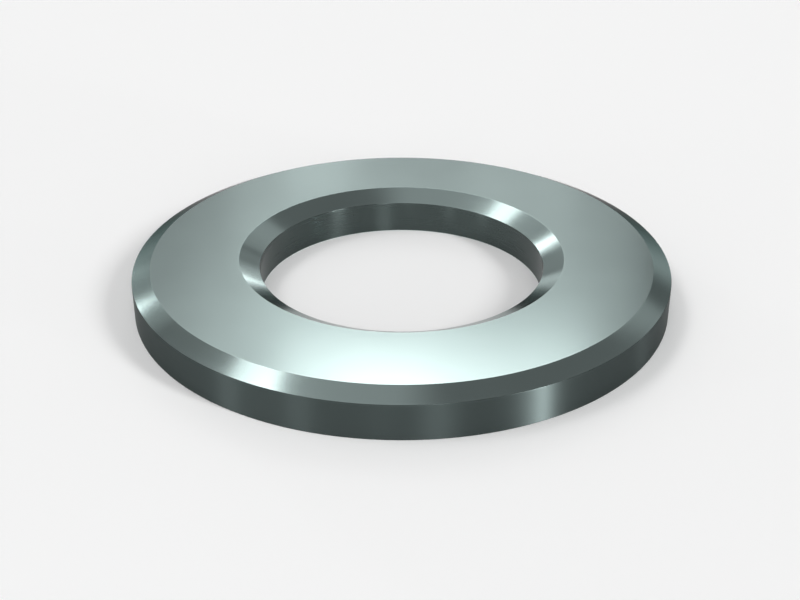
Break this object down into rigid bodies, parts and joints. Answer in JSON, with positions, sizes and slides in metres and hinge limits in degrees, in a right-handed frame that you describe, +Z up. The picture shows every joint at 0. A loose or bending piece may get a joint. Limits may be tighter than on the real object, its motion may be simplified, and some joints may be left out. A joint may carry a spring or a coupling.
{
  "type": "chamfered flat washer",
  "caption": "Flat round steel washer with a chamfered rim and a countersunk bore, which spreads the load of a bolt head or nut.",
  "frame": {"origin": "centre of the underside, on the bore's axis", "axes": "+Z up the bore's axis, from the plain underside to the chamfered side"},
  "size_m": [0.032, 0.032, 0.0026],
  "materials": {
    "steel": "satin"
  },
  "bodies": {
    "root": {"washer": "steel"}
  },
  "joints": []
}
